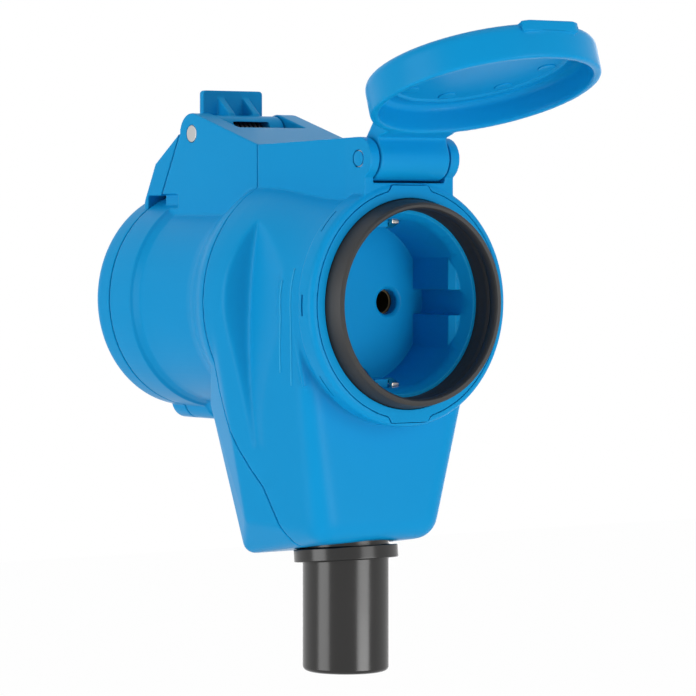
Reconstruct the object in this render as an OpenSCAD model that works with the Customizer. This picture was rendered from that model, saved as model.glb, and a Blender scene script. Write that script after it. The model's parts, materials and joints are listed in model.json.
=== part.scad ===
// Angled coupler with a three-pole pin and sleeve collar at the rear, an earthed two-pin socket at the
// front and a rubber cable sleeve below. The origin is the centre of the collar's mouth, +Y points out
// of the mouth and +Z is up. Lengths are in millimetres.

/* [Coupler collar] */
// Inside radius of the coupler collar
collar_bore_r = 23.2; // [22.8:0.1:23.6]
// Wall of the coupler collar
collar_wall = 2.5; // [2:0.1:2.8]
// Depth of the collar from its mouth to the web
collar_depth = 34; // [30:0.5:36]
// Thickness of the web that carries the contact carrier
web_t = 3; // [2:0.1:4]
// Radius of the flange at the mouth
flange_r = 27; // [26.5:0.1:28]
// Length of the flange
flange_len = 9.5; // [8:0.5:10.5]
// Reach of the keyway bulge from the axis
keyway_reach = 30; // [29.5:0.1:31]
// Radius of the round keyway bulge
keyway_bulge_r = 4.6; // [4.4:0.1:5.5]
// Wall round the keyway
keyway_wall = 1.7; // [1.4:0.1:2]

/* [Body] */
// Distance from the collar's mouth to the socket's face
body_depth = 86; // [84:0.5:90]
// Distance from the socket's face to the parting plane
seam_depth = 39.8; // [38.8:0.2:41]
// Largest radius of the body, at the parting plane
body_r = 31.1; // [30.4:0.1:31.6]
// Radius of the body behind the socket's collar
neck_r = 27.4; // [27.2:0.1:28]
// Outer radius of the socket's collar
socket_collar_r = 28.6; // [28.4:0.1:29.5]
// Length of the socket's collar
socket_collar_len = 5; // [4.6:0.1:6]
// Edge radius of the socket's collar
collar_edge_r = 1.6; // [0.6:0.1:1.7]
// Wall of the two shells
shell_wall = 2.4; // [1.8:0.1:2.8]

/* [Cable block] */
// Width of the block where it leaves the body
block_top_w = 54.2; // [53.4:0.2:54.6]
// Width of the block at its bottom
block_bottom_w = 36.2; // [35:0.2:37]
// Height at which the block reaches its top width
block_top_z = -6; // [-8:0.5:-4]
// Height of the block's bottom below the axis at its front
block_bottom_z = -56.3; // [-58:0.1:-55.5]
// Slope of the bottom towards the rear
bottom_slope = 5.6; // [3:0.1:7]
// Distance from the socket's face to the block's front
block_front = 7; // [6.6:0.1:9]
// Distance from the socket's face to the foot of the block's rear
block_rear = 45.6; // [44.8:0.2:47]
// Lean of the block's rear face
rear_lean = 8.5; // [6:0.5:10]
// Radius of the block's front edges
block_round = 4; // [3:0.5:5]
// Radius of the block's rear edges
block_rear_round = 3; // [2:0.5:4]

/* [Spine] */
// Width of the spine at the socket lid's ears
ear_w = 26; // [25:0.2:27]
// Width of the spine behind the parting plane
spine_w = 30.6; // [29.6:0.2:31.6]
// Thickness of the socket lid's ears
ear_t = 2.6; // [2.2:0.1:2.8]
// Thickness of the collar lid's cheeks
cheek_t = 5.3; // [4.8:0.1:5.6]
// Height of the roof at the parting plane
roof_z = 37.4; // [36.8:0.2:38.4]
// Distance from the socket's face to the end of the roof
roof_end = 55; // [54:0.5:55.5]

/* [Socket] */
// Radius of the insert's face
insert_r = 26.7; // [26.5:0.1:26.8]
// Radius of the plug recess
recess_r = 19.7; // [19.5:0.1:20]
// Depth of the plug recess
recess_depth = 21; // [19:0.5:22]
// Distance between the two pin holes
pin_pitch = 19; // [18.8:0.1:19.2]
// Radius of a pin hole
pin_hole_r = 3; // [2.8:0.05:3.2]
// Distance from the axis to the flat guides
guide_x = 16.9; // [16.5:0.1:17.3]
// Width of the channel between the flat guides
guide_gap = 5.9; // [5:0.1:6.5]
// Outer radius of the seal
seal_r = 24.4; // [24:0.1:24.6]
// How far the seal's lip stands out of the face
seal_lip = 3.5; // [3:0.1:4]

/* [Socket lid] */
// Height of the socket lid's hinge above the axis
socket_hinge_z = 33.6; // [33.4:0.1:34.4]
// Distance of that hinge behind the socket's face
socket_hinge_y = 3; // [2.6:0.1:3.4]
// Outer radius of the socket lid
lid_r = 26.6; // [26:0.1:27]
// Height of the socket lid's skirt
lid_h = 8.4; // [7.8:0.1:9.4]
// Wall of both lids
lid_wall = 2; // [1.6:0.1:2.4]
// Angle at which the socket lid stands open
lid_open = 108; // [95:1:112]
// Radius of the socket lid's hinge barrel
barrel_r = 5.2; // [5:0.1:5.3]
// Radius of the socket lid's hinge pin
socket_pin_r = 2; // [1.8:0.1:2.2]

/* [Collar lid] */
// Height of the collar lid's hinge above the axis
collar_hinge_z = 40.4; // [40:0.1:41]
// Distance of that hinge from the mouth
collar_hinge_y = -18.5; // [-19:0.1:-18]
// Radius of the cheeks round the hinge
boss_r = 5; // [4.8:0.1:5.4]
// Radius of the collar lid's hinge pin
collar_pin_r = 2.1; // [1.9:0.1:2.2]
// Height of the collar lid
collar_lid_h = 7.7; // [7:0.1:8.5]
// Width of the lever tab
tab_w = 17.8; // [16:0.1:18.6]
// Top of the lever tab above the hinge
tab_top = 10.8; // [9:0.1:11]
// Thickness of the lever tab
tab_t = 1.6; // [1.4:0.1:2.4]

/* [Contacts] */
// Radius of the contact carrier
carrier_r = 17.6; // [17:0.1:17.9]
// Radius of the circle on which the coupler contacts lie
contact_circle_r = 9.5; // [9:0.1:10]
// Bore radius of the live and neutral contacts
contact_bore_r = 2.55; // [2.5:0.05:2.7]
// Bore radius of the earth contact
earth_bore_r = 3.05; // [3:0.05:3.2]
// Wall of a contact tube
contact_wall = 0.9; // [0.7:0.1:1.1]
// Recess of the carrier's face below the mouth
carrier_recess = 4; // [3:0.5:6]
// Thickness of the link strips
link_t = 1.2; // [0.8:0.1:1.5]

/* [Cable sleeve] */
// Distance of the sleeve's axis from the socket's face
sleeve_y = 25; // [24:0.5:28]
// Radius of the sleeve's tube
sleeve_r = 10.3; // [9.5:0.1:10.8]
// Radius of the sleeve's collar
sleeve_collar_r = 12.5; // [12:0.1:13]
// Height of the sleeve's collar
sleeve_collar_h = 3.1; // [2.5:0.1:4]
// Length of the sleeve below the block
sleeve_len = 29.4; // [24:0.2:34]
// Radius of the cable bore
cable_r = 5.5; // [5:0.1:6.5]

/* [Fits] */
// Radial clearance of the hinge pins
pin_clear = 0.05; // [0.02:0.01:0.1]
// Clearance between pieces that move past each other
gap = 0.4; // [0.3:0.05:0.5]
// Clearance between pieces that are seated in each other
seat = 0.1; // [0.05:0.01:0.15]

/* [Hidden] */
$fn = 96;
plastic = "#2292d4";
rubber = "#232323";
nickel = "#c9c9c4";
brass = "#c8a758";
insulator = "#e6e6e2";
far = 200;

// Planes along the axis
face_y = -body_depth;
seam_y = face_y + seam_depth;
collar_r = collar_bore_r + collar_wall;
web_y = -collar_depth - web_t;
flare_y = web_y + 5.5;
block_front_y = face_y + block_front;
block_rear_y = face_y + block_rear;
roof_end_y = face_y + roof_end;
keyway_z = -(keyway_reach - keyway_bulge_r);

// Hinge axes as [y, z]
front_hinge = [face_y + socket_hinge_y, socket_hinge_z];
rear_hinge = [collar_hinge_y, collar_hinge_z];
ear_x = ear_w / 2;
ear_in = ear_x - ear_t;
barrel_x = ear_in - gap;
ear_r = barrel_r - 0.2;
cheek_x = spine_w / 2;
cheek_in = cheek_x - cheek_t;
knuckle_x = cheek_in - gap;

// The line that parts the cheeks from the collar lid's arm, and the arm's rear edge
part_top = rear_hinge + [boss_r + 0.4, 0];
part_foot = [-5.2, flange_r - 1.6];
arm_kink = [-2.8, rear_hinge[1] - 7.2];
arm_foot = [2, flange_r - 3];

// The insert
insert_flange = 4;
cup_wall = 1.8;
cup_r = recess_r + cup_wall;
floor_y = face_y + recess_depth;
floor_t = 3;

// The contacts
tube_r = contact_bore_r + contact_wall;
earth_tube_r = earth_bore_r + contact_wall;
head_r = earth_tube_r + 0.6;
carrier_face_y = -carrier_recess;
carrier_flange_t = 3;
carrier_flange_r = carrier_r + 2.6;
carrier_back_y = web_y - carrier_flange_t;
tube_front_y = carrier_face_y - 6;
head_len = 6;
head_y = carrier_back_y - head_len;
link_y = head_y - link_t;
contact_end_t = 1;
boss_end_y = link_y - contact_end_t - 0.2;
contact_angles = [30, 150, 270];

// The cable block
bottom_rise = tan(bottom_slope);
sleeve_axis_y = face_y + sleeve_y;
sleeve_top_z = block_bottom_z - (sleeve_axis_y - block_front_y) * bottom_rise;

// Turns a profile drawn as [radius, y] about the coupler's axis
module turned_y() {
    rotate([-90, 0, 0]) rotate_extrude() children();
}

// Extrudes an outline drawn as [x, z] from y0 to y1
module slab_y(y0, y1) {
    translate([0, y1, 0]) rotate([90, 0, 0]) linear_extrude(y1 - y0) children();
}

// Extrudes an outline drawn as [y, z] from x0 to x1
module slab_x(x0, x1) {
    translate([x0, 0, 0]) rotate([90, 0, 90]) linear_extrude(x1 - x0) children();
}

// Round bar along X through a point given as [y, z]
module bar_x(x0, x1, at, r) {
    translate([x0, at[0], at[1]]) rotate([0, 90, 0]) cylinder(r = r, h = x1 - x0);
}

// Round bar along Y through a point given as [x, z]
module bar_y(y0, y1, at, r) {
    translate([at[0], y0, at[1]]) rotate([-90, 0, 0]) cylinder(r = r, h = y1 - y0);
}

// Both sides of a piece that is mirrored about the middle plane
module both_sides() {
    children();
    mirror([1, 0, 0]) children();
}

function ease(t) = (1 - cos(180 * t)) / 2;
function blend(a, b, t) = a + (b - a) * ease(t);
function on_circle(r, a) = [r * cos(a), r * sin(a)];

// Swelling flank of the body from the socket's collar to the barrel, as [radius, y]
function flank(inset, steps = 8) = concat(
    [for (i = [0:steps]) let (t = i / steps, y0 = face_y + socket_collar_len + 0.8)
        [blend(neck_r, body_r, t) - inset, y0 + (seam_y - y0) * t]],
    [for (i = [1:steps]) let (t = i / steps)
        [blend(body_r, collar_r, t) - inset, seam_y + (flare_y - seam_y) * t]]);

// Turned outline of the body with the socket's collar
module body_profile() {
    edge = [socket_collar_r - collar_edge_r, face_y + collar_edge_r];
    polygon(concat(
        [[0, face_y], [edge[0], face_y]],
        [for (a = [-75:15:0]) edge + on_circle(collar_edge_r, a)],
        [[socket_collar_r, face_y + socket_collar_len]],
        flank(0),
        [[0, flare_y]]));
}

// Room inside the body, between the socket and the web
module body_room() {
    turned_y() intersection() {
        polygon(concat([[0, face_y]], flank(shell_wall), [[0, flare_y]]));
        translate([0, face_y + insert_flange + 3]) square([far, web_y - face_y - insert_flange - 3]);
    }
}

// One rounded post of the cable block
module block_post(x, z, y, r) {
    translate([x, y, z]) sphere(r = r, $fn = 32);
}

// Half the width of the block at a height, and how far its rear face stands back there
function block_half(z) = let (t = (block_top_z - z) / (block_top_z - block_bottom_z))
    (block_top_w + (block_bottom_w - block_top_w) * t) / 2;
function block_rear_at(z) = block_rear_y + (z - block_bottom_z) * tan(rear_lean);
function block_front_at(z) = block_front_y + (block_top_z - z) * tan(front_lean);

// Tapered block below the body with moulded edges, fullest at the parting plane
shoulder_z = -24;
block_swell = 0.6 * (body_r - neck_r);
front_lean = 4.2;
module block_outer() {
    low_round = block_round + 2;
    low = block_bottom_z + low_round;
    rear_low = block_bottom_z - (block_rear_y - block_front_y) * bottom_rise + block_rear_round;
    hull() both_sides() {
        block_post(block_half(block_top_z) - block_round, block_top_z,
            block_front_at(block_top_z) + block_round, block_round);
        block_post(block_half(low) - low_round, low, block_front_at(low) + low_round, low_round);
        for (z = [shoulder_z, rear_low]) block_post(block_half(z) - 1 - block_rear_round, z,
            block_rear_at(z) - block_rear_round, block_rear_round);
        block_post(norm_x(body_r, block_top_z) - block_round, block_top_z, seam_y - 4, block_round);
        block_post(block_half(low) + block_swell - block_round, low, seam_y - 4, block_round);
    }
}

// Room inside the cable block, above its floor
module block_room() {
    floor_z = sleeve_top_z + 2 * shell_wall;
    skin = 1.5 * shell_wall;
    top = block_half(block_top_z) - skin;
    low = block_half(floor_z) - skin;
    intersection() {
        slab_y(block_front_y, far)
            polygon([[-top, block_top_z], [top, block_top_z], [low, floor_z], [-low, floor_z]]);
        slab_x(-far, far) polygon([
            [block_front_y + shell_wall, block_top_z], [block_front_at(floor_z) + shell_wall, floor_z],
            [block_rear_at(floor_z) - skin, floor_z],
            [block_rear_at(shoulder_z) - skin, shoulder_z], [web_y - skin, block_top_z]
        ]);
    }
}

// Side outline of the spine as [y, z]: ears of the socket lid, roof and cheeks of the collar lid
module spine_outline() {
    leg_y = face_y + 0.5;
    translate(front_hinge) circle(r = ear_r);
    translate(rear_hinge) circle(r = boss_r);
    polygon([
        [leg_y, 18], [leg_y, front_hinge[1] - 3], front_hinge, front_hinge + [0, ear_r],
        [seam_y, roof_z], rear_hinge + boss_r * [-0.29, 0.957], rear_hinge + [boss_r - 0.05, 0],
        part_top - [gap, 0], part_foot - [gap, 0], [part_foot[0] - gap, 18]
    ]);
}

// The spine, which narrows in plan from the parting plane to the ears
module spine() {
    intersection() {
        slab_x(-cheek_x, cheek_x) spine_outline();
        linear_extrude(far) both_sides() polygon([[0, -far], [ear_x, -far], [ear_x, front_hinge[0] + ear_r],
            [cheek_x, seam_y], [cheek_x, 0], [0, 0]]);
    }
}

// Pocket between the ears in which the socket lid turns
module socket_hinge_pocket() {
    bar_x(-ear_in, ear_in, front_hinge, barrel_r + gap);
    translate([-ear_in, front_hinge[0] - far, front_hinge[1] - barrel_r - gap])
        cube([2 * ear_in, far, far]);
    translate([-ear_in, front_hinge[0] - 1, front_hinge[1]])
        cube([2 * ear_in, barrel_r + gap + 1, far]);
}

// Channel between the cheeks in which the collar lid's arm and spring lie
channel_floor_z = 30;
module collar_hinge_channel() {
    intersection() {
        slab_x(-cheek_in, cheek_in)
            polygon([[roof_end_y, channel_floor_z], [roof_end_y, 60], [20, 60], [20, flange_r - 8],
                [-flange_len - 3, flange_r - 8], [-flange_len - 3, channel_floor_z]]);
        difference() {
            translate([-far, -far, 0]) cube(2 * far);
            bar_y(-far, 0, [0, 0], flange_r);
        }
    }
}

// The whole moulded housing before it is parted, with its outer forms only
module housing_outer() {
    turned_y() body_profile();
    block_outer();
    spine();
    bar_y(web_y, flare_y, [0, keyway_z + 0.6], keyway_bulge_r);
    grip_ribs();
}

// Round keyway bulge that runs out into the barrel, from y0 to y1
module keyway_bulge(y0, y1) {
    hull() {
        bar_y(y0, y1, [0, keyway_z], keyway_bulge_r);
        bar_y(y0, y1, [0, keyway_z + 6], keyway_bulge_r + 1);
    }
}

// The coupler collar before it is bored: a turned barrel with its flange and keyway bulge, on a spigot
// that fills the hole in the rear shell
spigot_r = collar_bore_r + collar_wall / 2;
module collar_outer() {
    turned_y() polygon([
        [0, web_y], [spigot_r, web_y], [spigot_r, flare_y], [collar_r, flare_y], [collar_r, -flange_len - 2],
        [flange_r - 0.6, -flange_len], [flange_r, -flange_len + 0.6], [flange_r, 0], [0, 0]
    ]);
    keyway_bulge(-flange_len, 0);
    bar_y(flare_y, -flange_len, [0, keyway_z + 0.6], keyway_bulge_r);
}

// Radius of the body at a distance behind the socket's face
function body_r_at(d) = let (d0 = socket_collar_len + 0.8)
    blend(neck_r, body_r, (d - d0) / (seam_depth - d0));

// Faint upright ribs that follow the flanks, in front of the grip scoop
rib_pitch = 4.9;
rib_t = 0.8;
rib_proud = 0.35;
rib_mid_z = -6;
rib_lean = atan2((block_top_w - block_bottom_w) / 2, block_top_z - block_bottom_z);
function norm_x(r, z) = sqrt(r * r - z * z);
module grip_ribs() {
    for (i = [0:2]) let (d = socket_collar_len + 3.6 + rib_pitch * i, h = 27 - 6.4 * i) intersection() {
        bar_y(face_y + d - rib_t / 2, face_y + d + rib_t / 2, [0, 0], body_r_at(d) + rib_proud);
        translate([-far, face_y, rib_mid_z]) cube([2 * far, far, h / 2]);
    }
    for (i = [0:2]) let (d = socket_collar_len + 3.6 + rib_pitch * i, h = 27 - 6.4 * i) both_sides()
        translate([norm_x(body_r_at(d) + rib_proud, rib_mid_z), face_y + d - rib_t / 2, rib_mid_z])
            rotate([0, rib_lean, 0]) translate([-3, 0, -h / 2]) cube([3, rib_t, h / 2]);
}

// Finger scoop in each flank: a steep wall at the rear that runs out towards the front, turned about a
// far axis so that it also runs out above and below
scoop_x = 25.5;
scoop_y = 28.5;
scoop_z = -8;
scoop_turn_r = 150;
scoop_low_z = -34;
scoop_wall = [27.6, 17.4];
scoop_floor = [1.9, -14.5];
module grip_scoops(inset = 0) {
    crease = [scoop_turn_r - inset, face_y + scoop_y + inset];
    intersection() {
        both_sides() translate([scoop_x - scoop_turn_r, 0, scoop_z]) turned_y() polygon([
            crease, crease + scoop_wall, crease + [scoop_wall[0], scoop_floor[1]], crease + scoop_floor
        ]);
        translate([-far, -far, scoop_low_z - inset]) cube(2 * far);
    }
}

// Height of the sloping roof behind the parting plane
function roof_at(y) = let (top = rear_hinge + boss_r * [-0.29, 0.957])
    roof_z + (y - seam_y) * (top[1] - roof_z) / (top[0] - seam_y);

// Room under the roof, open to the body's room
module spine_room() {
    front = front_hinge[0] + barrel_r + gap + shell_wall;
    slab_x(-ear_in, ear_in)
        polygon([[front, 10], [front, roof_z - shell_wall], [seam_y, roof_z - shell_wall],
            [web_y, roof_at(web_y) - shell_wall], [web_y, 10]]);
}

// Keys at the top and bottom of the insert's face
module insert_keys(clear = 0) {
    half = 5.2 + clear;
    reach = insert_r + 0.8 + clear;
    slab_y(face_y, face_y + insert_flange) for (side = [-1, 1])
        polygon([[-half - 1, side * 25], [half + 1, side * 25], [half + 1, side * (reach - 1.5)],
            [half, side * reach], [-half, side * reach], [-half - 1, side * (reach - 1.5)]]);
}

// Short slits at the foot of the socket's collar, where the insert's hooks catch
module latch_slits() {
    slit = [4, 0.8, 5];
    for (a = [-45, 0, 45, 135, 180, 225]) rotate([0, a, 0])
        translate([neck_r - 0.7, face_y + socket_collar_len - 0.1, -slit[2] / 2]) cube(slit);
}

// Undercuts where the cheeks pass over the flange
module cheek_notches() {
    difference() {
        both_sides() translate([cheek_x - 1.2, part_foot[0] - 7.5, 18]) cube([20, 8, part_foot[1] - 17.7]);
        bar_y(-far, 0, [0, 0], flange_r);
    }
}

// Places along the sleeve's axis, square to the block's sloping bottom
module at_sleeve() {
    translate([0, sleeve_axis_y, sleeve_top_z]) rotate([-bottom_slope, 0, 0]) children();
}

// Hole and seat for the cable sleeve
module sleeve_hole() {
    translate([0, sleeve_axis_y, sleeve_top_z - 5]) cylinder(r = sleeve_r + seat, h = 20);
    at_sleeve() translate([0, 0, -10]) cylinder(r = sleeve_collar_r + seat, h = 10);
}

// Posts in the block that the housing screws pass through
post_x = 10.5;
post_z = -36;
post_r = 3.8;
screw_r = 1.6;
screw_head_r = 3;
well_depth = 5;
module screw_posts() {
    for (x = [-post_x, post_x]) bar_y(block_front_at(post_z) + 1, block_rear_y, [x, post_z], post_r);
}

// Wells for the heads of the housing screws and holes for their shanks
module screw_wells() {
    for (x = [-post_x, post_x]) {
        bar_y(block_rear_y - well_depth, far, [x, post_z], screw_head_r + seat);
        bar_y(block_front_at(post_z) + 5, far, [x, post_z], screw_r + seat);
    }
}

// Posts in the block that the cord clamp is screwed to
clamp_x = 9.4;
clamp_z = -46.5;
clamp_w = 25;
clamp_h = 6.4;
clamp_t = 4;
clamp_y = sleeve_axis_y + cable_r + seat;
module clamp_posts() {
    for (x = [-clamp_x, clamp_x]) difference() {
        bar_y(block_front_at(clamp_z) + 1, clamp_y, [x, clamp_z], clamp_h / 2);
        bar_y(block_front_at(clamp_z) + 4, far, [x, clamp_z], screw_r + seat);
    }
}

// The parting curve as [y, z]: upright through the spine and body, then forward to the sleeve
function bezier(a, b, c, t) = (1 - t) * (1 - t) * a + 2 * t * (1 - t) * b + t * t * c;
seam_gap = 0.16;
module front_half() {
    steps = 6;
    top = [seam_y, -16];
    turn = [seam_y, -30];
    elbow = [face_y + 28.2, -43.2];
    foot_y = sleeve_axis_y - 3;
    slab_x(-far, far) polygon(concat(
        [[-far, far], [seam_y, far]],
        [for (i = [0:steps]) bezier(top, turn, elbow, i / steps)],
        [[foot_y, sleeve_top_z - 1], [foot_y, -far], [-far, -far]]));
}

// Both shells as one moulding, with the posts inside
module housing() {
    difference() {
        union() {
            difference() {
                housing_outer();
                difference() {
                    union() {
                        body_room();
                        block_room();
                    }
                    grip_scoops(shell_wall);
                }
                spine_room();
            }
            screw_posts();
        }
        grip_scoops();
        socket_hinge_pocket();
        collar_hinge_channel();
        bar_y(face_y - 1, face_y + insert_flange, [0, 0], insert_r + seat);
        bar_y(face_y - 1, face_y + insert_flange + 4, [0, 0], cup_r + seat);
        insert_keys(seat);
        latch_slits();
        bar_x(-far, far, front_hinge, socket_pin_r + pin_clear);
        bar_x(-far, far, rear_hinge, collar_pin_r + pin_clear);
        cheek_notches();
        sleeve_hole();
        screw_wells();
    }
}

module front_housing() {
    color(plastic) {
        intersection() {
            housing();
            translate([0, -seam_gap / 2, 0]) front_half();
        }
        clamp_posts();
    }
}

module rear_housing() {
    color(plastic) difference() {
        housing();
        translate([0, seam_gap / 2, 0]) front_half();
        collar_outer();
        bar_y(web_y - 1, flare_y, [0, 0], spigot_r + seat);
    }
}

// The coupler collar, held in the rear shell by a snap rim on the inner end of its spigot
snap_proud = 0.4;
snap_len = 1.6;
module coupler_collar() {
    rim_in = carrier_flange_r + 1;
    rim_out = spigot_r + snap_proud;
    color(plastic) difference() {
        union() {
            collar_outer();
            turned_y() polygon([
                [rim_in, web_y], [rim_in, web_y - snap_len], [spigot_r, web_y - snap_len],
                [rim_out, web_y - snap_len / 2], [rim_out, web_y - seat], [spigot_r, web_y - seat],
                [spigot_r, web_y]
            ]);
        }
        bar_y(-collar_depth, far, [0, 0], collar_bore_r);
        bar_y(flare_y + keyway_wall, far, [0, keyway_z], keyway_bulge_r - keyway_wall);
        bar_y(web_y - 1, 0, [0, 0], carrier_r + seat);
    }
}

module housing_screws() {
    head_y = block_rear_y - well_depth;
    head_t = 2.4;
    color(nickel) for (x = [-post_x, post_x]) difference() {
        union() {
            bar_y(head_y, head_y + head_t, [x, post_z], screw_head_r);
            bar_y(block_front_at(post_z) + 7, head_y + 1, [x, post_z], screw_r);
        }
        translate([x, head_y + head_t, post_z]) cube([0.8, 2.4, 3.6], center = true);
        translate([x, head_y + head_t, post_z]) cube([3.6, 2.4, 0.8], center = true);
    }
}

// Room of the plug recess: a round cup narrowed by the flat guides
module plug_recess() {
    mouth = recess_r + 1.3;
    seal_seat = 3;
    guide_y = face_y + 6;
    chamfer = 1.2;
    turned_y() polygon([[0, guide_y], [recess_r, guide_y], [mouth, face_y + seal_seat],
        [seal_r + seat, face_y + seal_seat], [seal_r + seat, face_y - 1], [0, face_y - 1]]);
    intersection() {
        bar_y(face_y, floor_y, [0, 0], recess_r);
        union() {
            translate([-guide_x, face_y, -far]) cube([2 * guide_x, far, 2 * far]);
            translate([-far, face_y, -guide_gap / 2]) cube([2 * far, far, guide_gap]);
            linear_extrude(2 * far, center = true) both_sides()
                polygon([[0, guide_y - 1], [guide_x + chamfer + 1, guide_y - 1],
                    [guide_x, guide_y + chamfer], [0, guide_y + chamfer]]);
        }
    }
}

clip_t = 0.8;
clip_w = 8;
clip_gap = 4;
clip_z = recess_r + 1;
clip_tip_y = face_y + 9.6;
clip_back_y = floor_y + floor_t + seat + clip_t;

module socket_insert() {
    bump_w = clip_gap - 2 * seat;
    color(plastic) difference() {
        union() {
            difference() {
                union() {
                    bar_y(face_y, face_y + insert_flange, [0, 0], insert_r);
                    bar_y(face_y, floor_y + floor_t, [0, 0], cup_r);
                    insert_keys();
                }
                plug_recess();
                for (side = [-1, 1]) {
                    bar_y(floor_y - 1, floor_y + floor_t + 1, [0, side * recess_r], clip_w / 2 + 0.6);
                    translate([-clip_w / 2 - 0.3, clip_tip_y - 0.5, side * (recess_r - 0.2) - 1.3])
                        cube([clip_w + 0.6, far, 2.6]);
                }
            }
            intersection() {
                bar_y(floor_y - 10, floor_y + floor_t, [0, 0], cup_r);
                for (side = [-1, 1]) translate([-bump_w / 2, floor_y - far, side * (recess_r + 0.3) - 2.2])
                    cube([bump_w, far + floor_t, 4.4]);
            }
            for (x = [-pin_pitch / 2, pin_pitch / 2])
                bar_y(floor_y + 1, boss_end_y, [x, 0], tube_r + 1.6);
        }
        for (x = [-pin_pitch / 2, pin_pitch / 2]) {
            bar_y(floor_y - 1, floor_y + floor_t + 1, [x, 0], pin_hole_r);
            translate([x, 0, 0]) turned_y()
                polygon([[0, floor_y], [pin_hole_r + 0.7, floor_y], [0, floor_y + pin_hole_r + 0.7]]);
            bar_y(floor_y + floor_t, boss_end_y + 1, [x, 0], tube_r + seat);
        }
    }
}

// Lip seal: a square foot in the insert's face with a thin lip that leans inwards
module socket_seal() {
    foot = 2.6;
    lip_t = 2;
    root_y = face_y + 3;
    tip_y = face_y - seal_lip;
    color(rubber) turned_y() polygon([
        [seal_r, root_y], [seal_r, face_y + 0.4], [seal_r - 0.4, tip_y + 0.6], [seal_r - 1, tip_y],
        [seal_r - lip_t, tip_y + 0.3], [seal_r - lip_t, tip_y + 1.8], [seal_r - lip_t + 0.5, tip_y + 2.2],
        [seal_r - lip_t + 0.5, tip_y + 3], [seal_r - lip_t, tip_y + 3.4], [seal_r - foot, root_y - 1.2],
        [seal_r - foot, root_y]
    ]);
}

// Contact sleeve behind a pin hole, with the stud that its link is fixed to
module socket_contact(x) {
    start = floor_y + floor_t + seat;
    color(brass) difference() {
        union() {
            bar_y(start, boss_end_y, [x, 0], tube_r);
            bar_y(boss_end_y, boss_end_y + contact_end_t, [x, 0], tube_r + 1);
            bar_y(boss_end_y, link_y, [x, 0], 2.4);
        }
        bar_y(start - 1, boss_end_y, [x, 0], contact_bore_r);
    }
}
module socket_contact_left() {
    socket_contact(-pin_pitch / 2);
}
module socket_contact_right() {
    socket_contact(pin_pitch / 2);
}

// Forked ends of the earth clip as [y, z], bent inwards at the front
module clip_end() {
    bend = clip_tip_y + 1;
    polygon([
        [clip_back_y, clip_z], [bend, clip_z], [clip_tip_y, clip_z - 1], [clip_tip_y, clip_z - 2],
        [bend + 1.6, clip_z - 3.2], [bend + 1.6, clip_z - 2.3], [bend, clip_z - 1.6],
        [bend + 0.4, clip_z - clip_t], [clip_back_y, clip_z - clip_t]
    ]);
}
module earth_clip() {
    color(nickel) {
        translate([-clip_w / 2, clip_back_y - clip_t, -clip_z]) cube([clip_w, clip_t, 2 * clip_z]);
        for (turn = [0, 180]) rotate([0, turn, 0]) both_sides()
            slab_x(clip_gap / 2, clip_w / 2) clip_end();
    }
}

// The socket lid as it lies closed on the socket
module socket_lid_closed() {
    rim_y = face_y - gap;
    top_y = rim_y - lid_h;
    edge = 2.2;
    difference() {
        union() {
            turned_y() polygon(concat(
                [[0, top_y]],
                [for (a = [-90:15:0]) [lid_r - edge, top_y + edge] + on_circle(edge, a)],
                [[lid_r, rim_y], [0, rim_y]]));
            bar_x(-barrel_x, barrel_x, front_hinge, barrel_r);
            slab_x(-barrel_x, barrel_x) polygon([
                front_hinge + [-1, barrel_r - 0.1], [top_y + 1, lid_r - 1.5], [top_y, lid_r - 5],
                [rim_y, lid_r - 5], [rim_y, lid_r + 2], front_hinge - [0, barrel_r]
            ]);
            slab_y(top_y, top_y + 2.4)
                polygon([[-8, 2 - lid_r], [8, 2 - lid_r], [5.5, -lid_r - 1.8], [-5.5, -lid_r - 1.8]]);
        }
        turned_y() polygon([
            [0, top_y + lid_wall], [lid_r - lid_wall - 1, top_y + lid_wall],
            [lid_r - lid_wall, top_y + lid_wall + 1], [lid_r - lid_wall, rim_y + 1], [0, rim_y + 1]
        ]);
        bar_x(-far, far, front_hinge, socket_pin_r + pin_clear);
        bar_x(-far, -barrel_x + 4.4, front_hinge, socket_spring_r + 0.9);
    }
    turned_y() translate([lid_r - 6.6, top_y + lid_wall - 0.5]) square([1, 1]);
}

// Turns a piece of the socket lid from closed to open
module opened() {
    hinge = [0, front_hinge[0], front_hinge[1]];
    translate(hinge) rotate([-lid_open, 0, 0]) translate(-hinge) children();
}
module socket_lid() {
    color(plastic) opened() socket_lid_closed();
}
module socket_lid_pin() {
    color(nickel) bar_x(-ear_x + 0.3, ear_x - 0.3, front_hinge, socket_pin_r);
}

// Coil of round wire about a hinge, with a straight leg at each end, swept along its own points
module coil_spring(x0, x1, at, r, wire, turns, legs) {
    sides = 6;
    per_turn = 12;
    n = turns * per_turn;
    coil = [for (i = [0:n]) let (a = 180 - 360 * i / per_turn)
        [x0 + (x1 - x0) * i / n, at[0] + r * cos(a), at[1] + r * sin(a)]];
    path = concat([coil[0] + legs[0]], coil, [coil[n] + legs[1]]);
    last = len(path) - 1;
    rings = [for (i = [0:last])
        let (d = path[min(i + 1, last)] - path[max(i - 1, 0)], u = cross(d, [1, 0.2, 0]), v = cross(d, u))
        for (k = [0:sides - 1]) path[i] + wire * (u / norm(u) * cos(360 * k / sides)
            + v / norm(v) * sin(360 * k / sides))];
    walls = [for (i = [0:last - 1], k = [0:sides - 1]) let (a = i * sides, b = (k + 1) % sides)
        each [[a + k, a + sides + k, a + b], [a + sides + k, a + sides + b, a + b]]];
    caps = [[for (k = [0:sides - 1]) k], [for (k = [sides - 1:-1:0]) last * sides + k]];
    polyhedron(rings, concat(walls, caps));
}
socket_spring_r = socket_pin_r + 0.9;
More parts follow.
